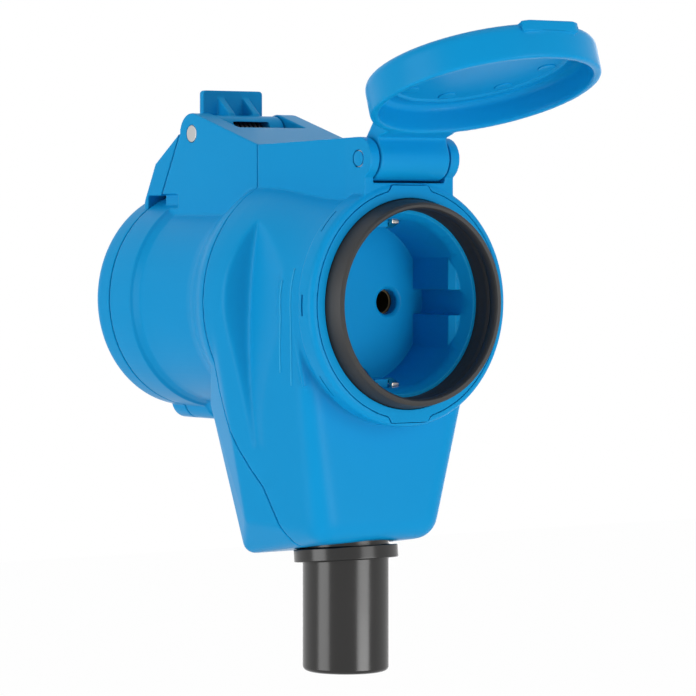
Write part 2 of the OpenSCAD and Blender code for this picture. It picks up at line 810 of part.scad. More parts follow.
module socket_lid_spring() {
    color(nickel) coil_spring(-barrel_x + 0.4, -barrel_x + 3.9, front_hinge, socket_spring_r, 0.4, 4,
        [[0, 0, -1.5], [0, 0, 1]]);
}

// Place of a coupler contact as [x, z]
function contact_at(i) = on_circle(contact_circle_r, contact_angles[i]);
function contact_bore(i) = i == 2 ? earth_bore_r : contact_bore_r;
function tube_seat_r(i) = contact_bore(i) + contact_wall + seat;

// Plate behind the web that carries the three contacts
module contact_carrier() {
    color(insulator) difference() {
        bar_y(carrier_back_y, web_y, [0, 0], carrier_flange_r);
        for (i = [0:2]) bar_y(carrier_back_y - 1, web_y + 1, contact_at(i), tube_seat_r(i));
    }
}

// One third of the insulating core in front of the plate, moulded round one contact
module contact_sleeve(i) {
    a = contact_angles[i];
    color(insulator) difference() {
        intersection() {
            bar_y(web_y, carrier_face_y, [0, 0], carrier_r);
            slab_y(web_y, carrier_face_y) translate(on_circle(seat / 2, a))
                polygon([[0, 0], on_circle(far, a - 60), on_circle(2 * far, a), on_circle(far, a + 60)]);
        }
        bar_y(web_y - 1, tube_front_y, contact_at(i), tube_seat_r(i));
        bar_y(tube_front_y - 1, 0, contact_at(i), contact_bore(i) + 0.3);
    }
}
module live_sleeve() {
    contact_sleeve(0);
}
module neutral_sleeve() {
    contact_sleeve(1);
}
module earth_sleeve() {
    contact_sleeve(2);
}

// Contact tube with its terminal head and the cross hole for the conductor
module coupler_contact(i) {
    at = contact_at(i);
    bore = contact_bore(i);
    tube = bore + contact_wall;
    tube_depth = 25;
    color(brass) difference() {
        union() {
            bar_y(carrier_back_y - 1, tube_front_y, at, tube);
            bar_y(head_y, carrier_back_y, at, head_r);
        }
        bar_y(tube_front_y - tube_depth, 0, at, bore);
        translate([at[0], (head_y + carrier_back_y) / 2, at[1]]) rotate([0, -contact_angles[i], 0]) {
            cylinder(r = 1.7, h = far, center = true);
            rotate([0, 90, 0]) cylinder(r = screw_r + seat, h = far);
        }
    }
}
module live_contact() {
    coupler_contact(0);
}
module neutral_contact() {
    coupler_contact(1);
}
module earth_contact() {
    coupler_contact(2);
}
module terminal_screws() {
    color(nickel) for (i = [0:2]) let (at = contact_at(i))
        translate([at[0], (head_y + carrier_back_y) / 2, at[1]]) rotate([0, -contact_angles[i], 0])
            translate([1.7, 0, 0]) rotate([0, 90, 0]) difference() {
                cylinder(r = screw_r, h = head_r + 1);
                translate([-far / 2, -0.4, head_r]) cube([far, 0.8, far]);
            }
}

// Strip between a coupler contact and the socket contact beside it
module link(i, x) {
    at = contact_at(i);
    reach = [x, 0] - at;
    color(brass) slab_y(link_y, head_y) {
        translate(at) circle(r = 3);
        translate([x, 0]) circle(r = 3);
        translate(at) rotate(atan2(reach[1], reach[0])) translate([0, -3]) square([norm(reach), 6]);
    }
}
module live_link() {
    link(0, pin_pitch / 2);
}
module neutral_link() {
    link(1, -pin_pitch / 2);
}
module earth_link() {
    top = -contact_circle_r + 3;
    low = -contact_circle_r - 6;
    color(brass) slab_x(-2.5, 2.5) polygon([
        [head_y, top], [head_y, low], [clip_back_y, low], [clip_back_y, low + link_t],
        [link_y, low + link_t], [link_y, top]
    ]);
}

rear_barrel_r = boss_r - 0.4;
rear_spring_r = collar_pin_r + 0.8;
spring_x0 = -5.3;
spring_x1 = 5.3;

// Arm of the collar lid: narrow between the cheeks, as wide as the spine behind them
module lid_arm() {
    difference() {
        union() {
            bar_x(-knuckle_x, knuckle_x, rear_hinge, rear_barrel_r);
            slab_x(-knuckle_x, knuckle_x) polygon([
                rear_hinge + [0, rear_barrel_r], part_top, arm_kink, arm_foot, [arm_foot[0], 16],
                [gap, 16], [gap, flange_r + gap], [-flange_len, flange_r + gap],
                rear_hinge + [-0.9, -rear_barrel_r + 0.1]
            ]);
            slab_x(-cheek_x, cheek_x) polygon([
                part_top, arm_kink, arm_foot, [arm_foot[0], 16], [gap, 16], [gap, part_foot[1]], part_foot
            ]);
        }
        bar_y(-far, gap, [0, 0], flange_r + gap);
        slab_x(-7, 7) polygon([
            rear_hinge + [1, -rear_barrel_r - 1], rear_hinge + [6, -rear_barrel_r + 0.6],
            arm_kink + [-1.6, -2.6], [0, flange_r + gap], [-flange_len - 4, flange_r + gap]
        ]);
    }
}

// Lever tab on the hinge barrel, stiffened by two gussets
module lever_tab() {
    front = rear_hinge[0] + 4.1;
    top = rear_hinge[1] + tab_top;
    foot = rear_hinge[1] + 0.6;
    heel = rear_hinge[1] + rear_barrel_r;
    round_r = 0.9;
    slab_y(front, front + tab_t) {
        for (x = [-1, 1]) translate([x * (tab_w / 2 - round_r), top - round_r]) circle(r = round_r);
        translate([-tab_w / 2, foot]) square([tab_w, top - foot - round_r]);
        translate([round_r - tab_w / 2, foot]) square([tab_w - 2 * round_r, top - foot]);
    }
    for (x = [-3.7, 3.7]) slab_x(x - 0.9, x + 0.9)
        polygon([[front + 1, top - 1.6], [front, top - 1.6], [front - 5, heel + 0.4],
            [front - 5, heel - 1], [front + 1, foot]]);
}

module collar_lid() {
    top_y = gap + collar_lid_h;
    edge = 3;
    color(plastic) difference() {
        union() {
            turned_y() polygon(concat(
                [[0, gap], [flange_r, gap]],
                [for (a = [0:15:75]) [flange_r - edge, top_y - 0.6 - edge] + on_circle(edge, a)],
                [[flange_r - edge - 2, top_y - 0.4], [0, top_y]]));
            keyway_bulge(gap, top_y - 2);
            lid_arm();
            lever_tab();
        }
        bar_y(gap - 1, top_y - lid_wall - 0.6, [0, 0], flange_r - lid_wall);
        bar_x(-far, far, rear_hinge, collar_pin_r + pin_clear);
        bar_x(spring_x0, spring_x1, rear_hinge, rear_spring_r + 0.8);
        translate([spring_x0, rear_hinge[0] - far, rear_hinge[1] - far])
            cube([spring_x1 - spring_x0, far - 1, far + 3]);
    }
}
module collar_lid_seal() {
    outer = flange_r - lid_wall - seat;
    inner = outer - 3.4;
    top_y = gap + 4;
    color(rubber) turned_y()
        polygon([[outer, gap], [outer, top_y], [inner, top_y], [inner, gap + 1], [inner + 1, gap]]);
}
module collar_lid_pin() {
    color("#c6c9cc") bar_x(-cheek_x, cheek_x, rear_hinge, collar_pin_r);
}
module collar_lid_spring() {
    color("#4a4a48") coil_spring(spring_x0 + 0.8, spring_x1 - 0.8, rear_hinge, rear_spring_r, 0.45, 7,
        [[0, 0, channel_floor_z - rear_hinge[1] + 0.1], [0, 0, 2.9]]);
}

// Rubber sleeve held by the block's floor between an inner and an outer collar
module cable_sleeve() {
    floor_z = sleeve_top_z + 2 * shell_wall;
    low_z = sleeve_top_z - sleeve_len;
    rim = 1;
    inner_h = 2;
    color(rubber) difference() {
        union() {
            at_sleeve() translate([0, 0, -sleeve_collar_h])
                cylinder(r = sleeve_collar_r, h = sleeve_collar_h);
            translate([0, sleeve_axis_y, 0]) rotate_extrude() polygon([
                [0, low_z], [sleeve_r - rim, low_z], [sleeve_r - 0.3, low_z + 0.3], [sleeve_r, low_z + rim],
                [sleeve_r, floor_z + seat], [sleeve_r + 1.6, floor_z + seat],
                [sleeve_r + 1.6, floor_z + inner_h], [0, floor_z + inner_h]
            ]);
        }
        translate([0, sleeve_axis_y, low_z - 1]) cylinder(r = cable_r, h = far);
    }
}

module cord_clamp() {
    color("#d8d8d4") difference() {
        translate([-clamp_w / 2, clamp_y, clamp_z - clamp_h / 2]) cube([clamp_w, clamp_t, clamp_h]);
        for (x = [-clamp_x, clamp_x]) bar_y(0 - far, far, [x, clamp_z], screw_r + seat);
        translate([0, clamp_y - cable_r + 0.6, clamp_z - far / 2]) cylinder(r = cable_r, h = far);
    }
}
module cord_clamp_screws() {
    head_y = clamp_y + clamp_t;
    head_t = 2;
    shank_len = 2 * clamp_t;
    color(nickel) for (x = [-clamp_x, clamp_x]) difference() {
        union() {
            bar_y(head_y, head_y + head_t, [x, clamp_z], screw_head_r - 0.2);
            bar_y(clamp_y - shank_len, head_y + 1, [x, clamp_z], screw_r);
        }
        translate([x, head_y + head_t, clamp_z]) cube([3.8, head_t, 0.8], center = true);
    }
}

front_housing();
rear_housing();
coupler_collar();
housing_screws();
socket_insert();
socket_seal();
socket_contact_left();
socket_contact_right();
earth_clip();
socket_lid();
socket_lid_pin();
socket_lid_spring();
contact_carrier();
live_sleeve();
neutral_sleeve();
earth_sleeve();
live_contact();
neutral_contact();
earth_contact();
terminal_screws();
live_link();
neutral_link();
earth_link();
collar_lid();
collar_lid_seal();
collar_lid_pin();
collar_lid_spring();
cable_sleeve();
cord_clamp();
cord_clamp_screws();
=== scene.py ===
import json
import math
import bpy
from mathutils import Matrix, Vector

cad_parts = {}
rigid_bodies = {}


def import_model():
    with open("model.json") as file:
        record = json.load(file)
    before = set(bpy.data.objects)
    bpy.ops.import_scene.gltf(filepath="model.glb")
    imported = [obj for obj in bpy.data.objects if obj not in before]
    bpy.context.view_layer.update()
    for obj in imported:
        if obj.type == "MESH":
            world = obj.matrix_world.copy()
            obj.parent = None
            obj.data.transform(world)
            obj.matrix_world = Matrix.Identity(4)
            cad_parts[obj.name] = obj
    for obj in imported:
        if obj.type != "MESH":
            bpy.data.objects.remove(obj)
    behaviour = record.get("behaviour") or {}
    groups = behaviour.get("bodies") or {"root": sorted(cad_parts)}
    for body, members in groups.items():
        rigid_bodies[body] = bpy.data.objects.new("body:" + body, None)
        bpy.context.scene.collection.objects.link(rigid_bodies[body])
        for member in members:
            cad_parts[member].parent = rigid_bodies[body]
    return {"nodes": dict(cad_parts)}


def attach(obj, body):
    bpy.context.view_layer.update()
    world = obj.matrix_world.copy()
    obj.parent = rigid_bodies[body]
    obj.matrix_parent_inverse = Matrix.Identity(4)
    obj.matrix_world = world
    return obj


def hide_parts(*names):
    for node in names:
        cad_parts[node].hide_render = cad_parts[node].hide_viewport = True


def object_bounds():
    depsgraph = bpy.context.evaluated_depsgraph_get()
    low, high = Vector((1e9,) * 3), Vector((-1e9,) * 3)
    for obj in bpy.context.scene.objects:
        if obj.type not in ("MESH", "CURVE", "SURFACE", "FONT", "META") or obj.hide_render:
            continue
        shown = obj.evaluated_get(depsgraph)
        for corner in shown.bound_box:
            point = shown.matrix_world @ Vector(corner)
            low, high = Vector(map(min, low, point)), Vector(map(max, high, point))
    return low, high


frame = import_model()
cad_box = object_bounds()

# The studio: a white sweep of floor with the camera low in front of the socket, to its left. A tall
# soft box stands on either side of the camera, one hangs overhead, one stands behind, and a small one low
# in front fills the socket and the underside of its lid. The part hangs above the floor.
photo_width = 696
focal_px = 3801
sensor_width = 36
aim = (0.0, -0.056, -0.010)
yaw = math.radians(36.5)
pitch = math.radians(1.9)
distance = 0.905
eye = (
    aim[0] - distance * math.cos(pitch) * math.sin(yaw),
    aim[1] - distance * math.cos(pitch) * math.cos(yaw),
    aim[2] + distance * math.sin(pitch),
)
bpy.ops.object.camera_add(location=eye, rotation=(math.pi / 2 - pitch, 0, -yaw))
camera = bpy.context.active_object
camera.name = "photo_camera"
camera.data.sensor_width = sensor_width
camera.data.lens = sensor_width * focal_px / photo_width
camera.data.shift_x = 0.0209
camera.data.shift_y = -0.0062
camera.data.clip_start = 0.05
bpy.context.scene.camera = camera
bpy.context.scene.view_settings.view_transform = "Standard"


def soft_box(name, place, size, watts):
    bpy.ops.object.light_add(type="AREA", location=place)
    lamp = bpy.context.active_object
    lamp.name = name
    lamp.data.shape = "RECTANGLE"
    lamp.data.size = size[0]
    lamp.data.size_y = size[1]
    lamp.data.energy = watts
    towards = [a - p for a, p in zip(aim, place)]
    flat = math.hypot(towards[0], towards[1])
    lamp.rotation_euler = (math.atan2(flat, -towards[2]), 0, math.atan2(-towards[0], towards[1]))


soft_box("left_box", (-1.19, 0.12, 0.02), (0.7, 0.95), 8.0)
soft_box("right_box", (0.24, -1.23, 0.02), (0.6, 0.95), 5.2)
soft_box("low_box", (0.11, -0.68, -0.22), (0.4, 0.2), 1.1)
soft_box("top_box", (-0.1, -0.2, 1.20), (1.0, 1.0), 3.6)
soft_box("back_box", (0.85, 0.80, 0.0), (0.8, 0.8), 3.0)


def seen_as_white(nodes, links):
    path = nodes.new("ShaderNodeLightPath")
    direct = nodes.new("ShaderNodeMath")
    direct.operation = "MAXIMUM"
    links.new(path.outputs["Is Camera Ray"], direct.inputs[0])
    links.new(path.outputs["Is Glossy Ray"], direct.inputs[1])
    either = nodes.new("ShaderNodeMath")
    either.operation = "MAXIMUM"
    links.new(direct.outputs[0], either.inputs[0])
    links.new(path.outputs["Is Transmission Ray"], either.inputs[1])
    return either.outputs[0]


world = bpy.data.worlds.new("white_room")
bpy.context.scene.world = world
world.use_nodes = True
room = world.node_tree.nodes
room_links = world.node_tree.links
white = room.new("ShaderNodeBackground")
white.inputs["Color"].default_value = (1, 1, 1, 1)
white.inputs["Strength"].default_value = 1
room["Background"].inputs["Color"].default_value = (0.93, 0.96, 1, 1)
room["Background"].inputs["Strength"].default_value = 0.32
choose = room.new("ShaderNodeMixShader")
room_links.new(seen_as_white(room, room_links), choose.inputs[0])
room_links.new(room["Background"].outputs[0], choose.inputs[1])
room_links.new(white.outputs[0], choose.inputs[2])
room_links.new(choose.outputs[0], room["World Output"].inputs["Surface"])

floor_drop = 0.40
floor_width = 8
floor_z = cad_box[0][2] - floor_drop
bpy.ops.mesh.primitive_plane_add(size=floor_width, location=(0, 0, floor_z))
floor = bpy.context.active_object
floor.name = "floor"
paper = bpy.data.materials.new("white_paper")
paper.use_nodes = True
paper_nodes = paper.node_tree.nodes
paper_nodes["Principled BSDF"].inputs["Base Color"].default_value = (0.9, 0.9, 0.9, 1)
paper_nodes["Principled BSDF"].inputs["Roughness"].default_value = 0.8
paper_glow = paper_nodes.new("ShaderNodeEmission")
paper_glow.inputs["Strength"].default_value = 1
paper_mix = paper_nodes.new("ShaderNodeMixShader")
paper_links = paper.node_tree.links
paper_share = paper_nodes.new("ShaderNodeMath")
paper_share.operation = "MULTIPLY"
paper_share.inputs[1].default_value = 0.985
paper_links.new(seen_as_white(paper_nodes, paper_links), paper_share.inputs[0])
paper_links.new(paper_share.outputs[0], paper_mix.inputs[0])
paper_links.new(paper_nodes["Principled BSDF"].outputs[0], paper_mix.inputs[1])
paper_links.new(paper_glow.outputs[0], paper_mix.inputs[2])
paper_links.new(paper_mix.outputs[0], paper_nodes["Material Output"].inputs["Surface"])
floor.data.materials.append(paper)

# The two housing shells: injection-moulded blue polyamide with a fine satin grain. They meet at the
# parting line, carry both hinges on the spine and are screwed together through the cable block.
SHELL_BLUE = (0.0040, 0.300, 0.635, 1)
SHELL_SHADE = (0.0030, 0.278, 0.605, 1)


def moulded_plastic(name, colour, shade, roughness):
    finish = bpy.data.materials.new(name)
    finish.use_nodes = True
    nodes = finish.node_tree.nodes
    links = finish.node_tree.links
    bsdf = nodes["Principled BSDF"]
    bsdf.inputs["Specular IOR Level"].default_value = 0.08
    place = nodes.new("ShaderNodeTexCoord")
    flow = nodes.new("ShaderNodeTexNoise")
    flow.inputs["Scale"].default_value = 32
    flow.inputs["Detail"].default_value = 3
    tint = nodes.new("ShaderNodeMix")
    tint.data_type = "RGBA"
    tint.inputs["A"].default_value = colour
    tint.inputs["B"].default_value = shade
    grain = nodes.new("ShaderNodeTexNoise")
    grain.inputs["Scale"].default_value = 2600
    grain.inputs["Detail"].default_value = 2
    sheen = nodes.new("ShaderNodeMapRange")
    sheen.inputs["To Min"].default_value = roughness - 0.05
    sheen.inputs["To Max"].default_value = roughness + 0.07
    relief = nodes.new("ShaderNodeBump")
    relief.inputs["Strength"].default_value = 0.06
    relief.inputs["Distance"].default_value = 0.0002
    links.new(place.outputs["Object"], flow.inputs["Vector"])
    links.new(place.outputs["Object"], grain.inputs["Vector"])
    links.new(flow.outputs["Fac"], tint.inputs["Factor"])
    links.new(tint.outputs["Result"], bsdf.inputs["Base Color"])
    links.new(flow.outputs["Fac"], sheen.inputs["Value"])
    links.new(sheen.outputs["Result"], bsdf.inputs["Roughness"])
    links.new(grain.outputs["Fac"], relief.inputs["Height"])
    links.new(relief.outputs["Normal"], bsdf.inputs["Normal"])
    return finish


shell_plastic = moulded_plastic("blue_polyamide", SHELL_BLUE, SHELL_SHADE, 0.36)


def merged_copy(nodes, name):
    bpy.ops.object.select_all(action="DESELECT")
    for node in nodes:
        frame["nodes"][node].select_set(True)
    bpy.context.view_layer.objects.active = frame["nodes"][nodes[0]]
    bpy.ops.object.duplicate()
    bpy.ops.object.parent_clear(type="CLEAR_KEEP_TRANSFORM")
    if len(nodes) > 1:
        bpy.ops.object.join()
    piece = bpy.context.active_object
    piece.name = name
    bpy.ops.object.mode_set(mode="EDIT")
    bpy.ops.mesh.select_all(action="SELECT")
    bpy.ops.mesh.remove_doubles(threshold=0.000004)
    bpy.ops.object.mode_set(mode="OBJECT")
    bpy.ops.mesh.customdata_custom_splitnormals_clear()
    return piece


def finished(piece, body, nodes, finish):
    piece.data.materials.clear()
    piece.data.materials.append(finish)
    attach(piece, body)
    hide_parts(*nodes)


def smoothed(piece, rounds, group=""):
    bpy.ops.object.modifier_add(type="SMOOTH")
    ease = piece.modifiers[-1]
    ease.factor = 0.5
    ease.iterations = rounds
    ease.vertex_group = group
    bpy.ops.object.modifier_apply(modifier=ease.name)


voxel_size = 0.00035


def soft_moulding(nodes, name, rounds, weight_at=None, weight_rounds=0, kept=0.22):
    piece = merged_copy(nodes, name)
    piece.data.remesh_voxel_size = voxel_size
    piece.data.use_remesh_preserve_attributes = False
    bpy.ops.object.voxel_remesh()
    smoothed(piece, rounds)
    if weight_at:
        levels = 10
        zone = piece.vertex_groups.new(name="soft_zone")
        members = [[] for _ in range(levels + 1)]
        for corner in piece.data.vertices:
            members[round(levels * weight_at(*corner.co))].append(corner.index)
        for level in range(1, levels + 1):
            zone.add(members[level], level / levels, "REPLACE")
        smoothed(piece, weight_rounds, zone.name)
    bpy.ops.object.modifier_add(type="DECIMATE")
    thinning = piece.modifiers[-1]
    thinning.ratio = kept
    bpy.ops.object.modifier_apply(modifier=thinning.name)
    bpy.ops.object.shade_smooth()
    return piece


def within(value):
    return max(0.0, min(1.0, value))


seam_y = -0.0462
seam_bend_z = -0.016
seam_bend_height = 0.0272
seam_bend_reach = 0.0116
seam_foot_z = -0.0432
seam_foot_slope = 0.39


def seam_at(z):
    curve = within((seam_bend_z - z) / seam_bend_height)
    foot = max(0.0, seam_foot_z - z)
    return seam_y - seam_bend_reach * curve ** 2 - seam_foot_slope * foot


collar_back_y = -0.0795
spine_foot_z = 0.020
block_foot_z = -0.058
least_at_seam = 0.1
edge_fade = 0.003
spine_fade = 0.008
foot_fade = 0.006


def flank_weight(x, y, z):
    from_collar = (y - collar_back_y) / edge_fade
    from_spine = (spine_foot_z - z) / spine_fade
    from_seam = least_at_seam + (seam_at(z) - y) / edge_fade
    from_bottom = (z - block_foot_z) / foot_fade
    return within(min(from_collar, from_spine, from_seam, from_bottom))


def hook_slits(shell):
    collar_radius = 0.0286
    slit_y = -0.0825
    slit_depth = 0.0014
    slits = ((0, 0.00055, 0.0049), (42.5, 0.0003, 0.0064), (-41, 0.0003, 0.0064))
    blades = []
    bpy.ops.object.select_all(action="DESELECT")
    for degrees, width, length in slits:
        for around in (math.radians(degrees), math.radians(180 - degrees)):
            place = (collar_radius * math.cos(around), slit_y, collar_radius * math.sin(around))
            bpy.ops.mesh.primitive_cube_add(size=1, location=place, rotation=(0, -around, 0))
            blade = bpy.context.active_object
            blade.scale = (slit_depth, width, length)
            blades.append(blade)
    for blade in blades:
        blade.select_set(True)
    bpy.ops.object.join()
    cutter = bpy.context.active_object
    bpy.ops.object.transform_apply(location=True, rotation=True, scale=True)
    bpy.ops.object.select_all(action="DESELECT")
    shell.select_set(True)
    bpy.context.view_layer.objects.active = shell
    bpy.ops.object.modifier_add(type="BOOLEAN")
    cut = shell.modifiers[-1]
    cut.operation = "DIFFERENCE"
    cut.object = cutter
    bpy.ops.object.modifier_apply(modifier=cut.name)
    bpy.ops.object.shade_smooth_by_angle(angle=math.radians(50))
    bpy.ops.object.select_all(action="DESELECT")
    cutter.select_set(True)
    bpy.ops.object.delete()


front_shell = soft_moulding(["front_housing"], "front_shell", 4, flank_weight, 60)
hook_slits(front_shell)
finished(front_shell, "coupler", ["front_housing"], shell_plastic)
rear_shell = soft_moulding(["rear_housing", "coupler_collar"], "rear_shell", 4)
finished(rear_shell, "coupler", ["rear_housing", "coupler_collar"], shell_plastic)

# The grip ribs: fine raised lines on each flank, moulded with the front shell. Their blue is painted paler
# than the shell's, a painted highlight along each rib. Two stand clear in front of the finger scoop, the
# longer one nearer to the socket's collar.
painted_highlight_rib_plastic = moulded_plastic("blue_rib_painted_highlight", (0.030, 0.42, 0.76, 1), (0.020, 0.38, 0.72, 1), 0.30)
face_y = -0.086
rib_width = 0.00035
rib_height = 0.00030
rib_start_x = 0.045
rib_reach = 0.03
rib_lean = 0.21
rib_lean_below = -0.003


def grip_rib(name, side, depth, low, high):
    bpy.ops.object.select_all(action="DESELECT")
    middle = (low + high) / 2
    bpy.ops.mesh.primitive_grid_add(x_subdivisions=2, y_subdivisions=24, size=1,
                                    location=(side * rib_start_x, face_y + depth, middle),
                                    rotation=(math.pi / 2, 0, math.pi / 2))
    rib = bpy.context.active_object
    rib.name = name
    rib.scale = (rib_width, high - low, 1)
    bpy.ops.object.transform_apply(location=True, rotation=True, scale=True)
    for corner in rib.data.vertices:
        corner.co.y += rib_lean * max(0.0, rib_lean_below - corner.co.z)
    bpy.ops.object.modifier_add(type="SHRINKWRAP")
    lay = rib.modifiers[-1]
    lay.target = front_shell
    lay.wrap_method = "PROJECT"
    lay.use_project_x = True
    lay.use_negative_direction = True
    lay.use_positive_direction = True
    lay.project_limit = rib_reach
    bpy.ops.object.modifier_apply(modifier=lay.name)
    bpy.ops.object.modifier_add(type="SOLIDIFY")
    body = rib.modifiers[-1]
    body.thickness = rib_height
    body.offset = 0
    bpy.ops.object.modifier_apply(modifier=body.name)
    bpy.ops.object.shade_smooth()
    rib.data.materials.append(painted_highlight_rib_plastic)
    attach(rib, "coupler")


for side, word in ((-1, "left"), (1, "right")):
    grip_rib("grip_rib_long_" + word, side, 0.0093, -0.0187, 0.0083)
    grip_rib("grip_rib_short_" + word, side, 0.0129, -0.0158, 0.0055)

# The socket insert: the blue cup that takes the plug, snapped into the front collar. It is moulded in
# the same plastic, a little smoother, and its floor has the two pin holes and the earth clip's slots.
def moulded_copy(node, name, body, edge_radius, finish):
    piece = merged_copy([node], name)
    bpy.ops.object.mode_set(mode="EDIT")
    bpy.ops.mesh.dissolve_limited(angle_limit=math.radians(0.8))
    bpy.ops.object.mode_set(mode="OBJECT")
    bpy.ops.object.modifier_add(type="BEVEL")
    rounding = piece.modifiers[-1]
    rounding.width = edge_radius
    rounding.segments = 2
    rounding.limit_method = "ANGLE"
    rounding.angle_limit = math.radians(34)
    rounding.use_clamp_overlap = False
    rounding.miter_outer = "MITER_ARC"
    bpy.ops.object.modifier_apply(modifier=rounding.name)
    bpy.ops.object.shade_smooth_by_angle(angle=math.radians(38))
    bpy.ops.object.modifier_add(type="WEIGHTED_NORMAL")
    facing = piece.modifiers[-1]
    facing.keep_sharp = True
    bpy.ops.object.modifier_apply(modifier=facing.name)
    finished(piece, body, [node], finish)
    return piece


cup_plastic = moulded_plastic("blue_cup_plastic", SHELL_BLUE, SHELL_SHADE, 0.30)
moulded_copy("socket_insert", "socket_cup", "coupler", 0.00025, cup_plastic)

# The lip seal: a black rubber ring pressed into the insert's face. Its lip stands out of the face for
# the shut lid to close on, and two shallow grooves run round the inner wall.
def black_rubber(name, colour, roughness, grain_scale, relief_strength):
    finish = bpy.data.materials.new(name)
    finish.use_nodes = True
    nodes = finish.node_tree.nodes
    links = finish.node_tree.links
    bsdf = nodes["Principled BSDF"]
    bsdf.inputs["Specular IOR Level"].default_value = 0.45
    place = nodes.new("ShaderNodeTexCoord")
    bloom = nodes.new("ShaderNodeTexNoise")
    bloom.inputs["Scale"].default_value = 60
    bloom.inputs["Detail"].default_value = 4
    tint = nodes.new("ShaderNodeMix")
    tint.data_type = "RGBA"
    tint.inputs["A"].default_value = colour
    tint.inputs["B"].default_value = tuple(c * 1.5 for c in colour[:3]) + (1,)
    grain = nodes.new("ShaderNodeTexNoise")
    grain.inputs["Scale"].default_value = grain_scale
    relief = nodes.new("ShaderNodeBump")
    relief.inputs["Strength"].default_value = relief_strength
    relief.inputs["Distance"].default_value = 0.0002
    sheen = nodes.new("ShaderNodeMapRange")
    sheen.inputs["To Min"].default_value = roughness - 0.04
    sheen.inputs["To Max"].default_value = roughness + 0.08
    links.new(place.outputs["Object"], bloom.inputs["Vector"])
    links.new(place.outputs["Object"], grain.inputs["Vector"])
    links.new(bloom.outputs["Fac"], tint.inputs["Factor"])
    links.new(tint.outputs["Result"], bsdf.inputs["Base Color"])
    links.new(bloom.outputs["Fac"], sheen.inputs["Value"])
    links.new(sheen.outputs["Result"], bsdf.inputs["Roughness"])
    links.new(grain.outputs["Fac"], relief.inputs["Height"])
    links.new(relief.outputs["Normal"], bsdf.inputs["Normal"])
    return finish


def turned_ring(name, rings, sides):
    bpy.ops.object.select_all(action="DESELECT")
    radius, along = rings[0]
    bpy.ops.mesh.primitive_circle_add(vertices=sides, radius=radius, location=(0, along, 0),
                                      rotation=(math.pi / 2, 0, 0))
    piece = bpy.context.active_object
    piece.name = name
    bpy.ops.object.transform_apply(location=True, rotation=True, scale=True)
    bpy.ops.object.mode_set(mode="EDIT")
    bpy.ops.mesh.select_all(action="SELECT")
    for next_radius, next_along in rings[1:] + rings[:1]:
        bpy.ops.mesh.extrude_region_move(TRANSFORM_OT_translate={"value": (0, next_along - along, 0)})
        grow = next_radius / radius
        bpy.ops.transform.resize(value=(grow, 1, grow), center_override=(0, next_along, 0))
        radius, along = next_radius, next_along
    bpy.ops.mesh.select_all(action="SELECT")
    bpy.ops.mesh.remove_doubles(threshold=0.000002)
    bpy.ops.mesh.normals_make_consistent(inside=False)
    bpy.ops.object.mode_set(mode="OBJECT")
    bpy.ops.object.shade_smooth_by_angle(angle=math.radians(40))
    return piece


seal_rubber = black_rubber("seal_rubber", (0.016, 0.0155, 0.015, 1), 0.52, 1500, 0.12)
lip_seal = turned_ring("lip_seal", [
    (0.0244, face_y + 0.0030), (0.0244, face_y + 0.0002), (0.0238, face_y - 0.0032),
    (0.0235, face_y - 0.0043), (0.0230, face_y - 0.0046), (0.0224, face_y - 0.0045),
    (0.0220, face_y - 0.0040), (0.0220, face_y - 0.0023), (0.0226, face_y - 0.0017),
    (0.0228, face_y - 0.0010), (0.0225, face_y - 0.0004), (0.0223, face_y + 0.0001),
    (0.0223, face_y + 0.0007), (0.0219, face_y + 0.0014), (0.0218, face_y + 0.0030),
], 144)
lip_seal.data.materials.append(seal_rubber)
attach(lip_seal, "coupler")
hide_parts("socket_seal")

# The earth clip: one nickel-plated spring strip across the back of the cup, with forked tips that
# curl over the rim of the recess at twelve and six o'clock.
def bright_metal(name, colour, roughness, scratch):
    finish = bpy.data.materials.new(name)
    finish.use_nodes = True
    nodes = finish.node_tree.nodes
    links = finish.node_tree.links
    bsdf = nodes["Principled BSDF"]
    bsdf.inputs["Metallic"].default_value = 1
    bsdf.inputs["Base Color"].default_value = colour
    place = nodes.new("ShaderNodeTexCoord")
    stretch = nodes.new("ShaderNodeMapping")
    stretch.inputs["Scale"].default_value = scratch
    marks = nodes.new("ShaderNodeTexNoise")
    marks.inputs["Scale"].default_value = 1
    marks.inputs["Detail"].default_value = 4
    polish = nodes.new("ShaderNodeMapRange")
    polish.inputs["To Min"].default_value = roughness - 0.06
    polish.inputs["To Max"].default_value = roughness + 0.10
    links.new(place.outputs["Object"], stretch.inputs["Vector"])
    links.new(stretch.outputs["Vector"], marks.inputs["Vector"])
    links.new(marks.outputs["Fac"], polish.inputs["Value"])
    links.new(polish.outputs["Result"], bsdf.inputs["Roughness"])
    return finish


nickel = bright_metal("nickel_plate", (0.62, 0.58, 0.51, 1), 0.20, (900, 90, 900))
moulded_copy("earth_clip", "earth_spring", "coupler", 0.00015, nickel)

# The socket lid: a blue cap on a hinge barrel, standing open above the socket. Inside, a low ring on
# its ceiling guides the seal's lip, the rim is well rounded and a flat thumb pad lies on its free edge.
lid_plastic = moulded_plastic("blue_lid_plastic", SHELL_BLUE, SHELL_SHADE, 0.33)
hinge_y = -0.083
hinge_z = 0.0336
lid_turn = math.radians(108)
lid_radius = 0.0266
lid_rim_y = face_y - 0.0004
ceiling_y = lid_rim_y - 0.0064


def turned_lid(y, z, turn):
    along = y - hinge_y
    above = z - hinge_z
    return (
        hinge_y + math.cos(turn) * along - math.sin(turn) * above,
        hinge_z + math.sin(turn) * along + math.cos(turn) * above,
    )


lid_wall_inner = 0.0225
inner_fade = 0.0008
outer_margin = 0.0007
outer_fade = 0.0005
rim_band = 0.0026
rim_fade = 0.0014


